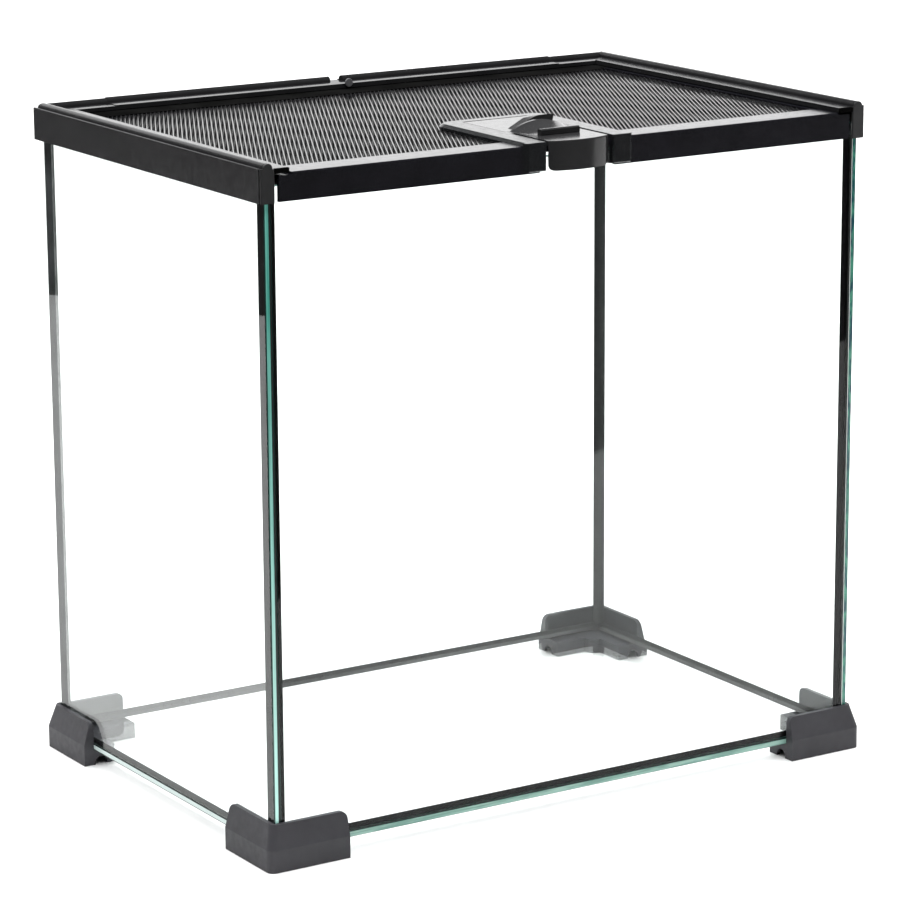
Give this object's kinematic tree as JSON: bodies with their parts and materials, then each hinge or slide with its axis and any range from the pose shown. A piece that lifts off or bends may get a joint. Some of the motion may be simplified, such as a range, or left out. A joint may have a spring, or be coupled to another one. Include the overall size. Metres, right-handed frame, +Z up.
{
  "type": "reptile terrarium",
  "caption": "Glass reptile terrarium on corner feet with a sliding mesh lid in a top frame and a small hinged feeding hatch held by a sliding thumb latch.",
  "frame": {"origin": "on the floor under the middle of the tank", "axes": "+X to the right along the tank's width, +Y to the back, +Z up; the hatch and the open side of the top frame face -Y"},
  "size_m": [0.4572, 0.3093, 0.4432],
  "materials": {
    "glass": "clear float glass with green edges",
    "silicone": "satin black silicone",
    "foot_plastic": "satin black moulded plastic",
    "frame_plastic": "semi-gloss black extruded plastic",
    "cap_plastic": "satin black moulded plastic",
    "button_plastic": "satin grey plastic",
    "lid_plastic": "semi-gloss black plastic",
    "mesh_metal": "satin black painted expanded metal",
    "pin_steel": "plain steel",
    "hatch_plastic": "gloss black moulded plastic"
  },
  "bodies": {
    "tank": {"back_glass": "glass", "bottom_glass": "glass", "corner_seal_back_left": "silicone", "corner_seal_back_right": "silicone", "corner_seal_front_left": "silicone", "corner_seal_front_right": "silicone", "floor_seal": "silicone", "foot_back_left": "foot_plastic", "foot_back_right": "foot_plastic", "foot_front_left": "foot_plastic", "foot_front_right": "foot_plastic", "front_glass": "glass", "left_glass": "glass", "left_rail": "frame_plastic", "rail_end_cap_left": "cap_plastic", "rail_end_cap_right": "cap_plastic", "rear_button": "button_plastic", "rear_corner_left": "frame_plastic", "rear_corner_right": "frame_plastic", "rear_rail": "frame_plastic", "right_glass": "glass", "right_rail": "frame_plastic"},
    "lid": {"lid_front_bar": "lid_plastic", "lid_left_bar": "lid_plastic", "lid_mesh": "mesh_metal", "lid_rear_bar": "lid_plastic", "lid_right_bar": "lid_plastic", "mesh_retainer": "lid_plastic", "hatch_frame": "hatch_plastic", "hatch_hinge_pin": "pin_steel"},
    "door": {"hatch_door": "hatch_plastic"},
    "latch": {"hatch_latch": "hatch_plastic"}
  },
  "joints": [
    {"name": "lid_slide", "type": "slide", "parent": "tank", "child": "lid", "axis": [0, -1, 0], "range_m": [0, 0.29]},
    {"name": "hatch_door_hinge", "type": "hinge", "parent": "lid", "child": "door", "pos_m": [0, -0.0574, 0.4336], "axis": [-1, 0, 0], "range_deg": [0, 95]},
    {"name": "hatch_latch_slide", "type": "slide", "parent": "lid", "child": "latch", "axis": [0, -1, 0], "range_m": [0, 0.007]}
  ]
}
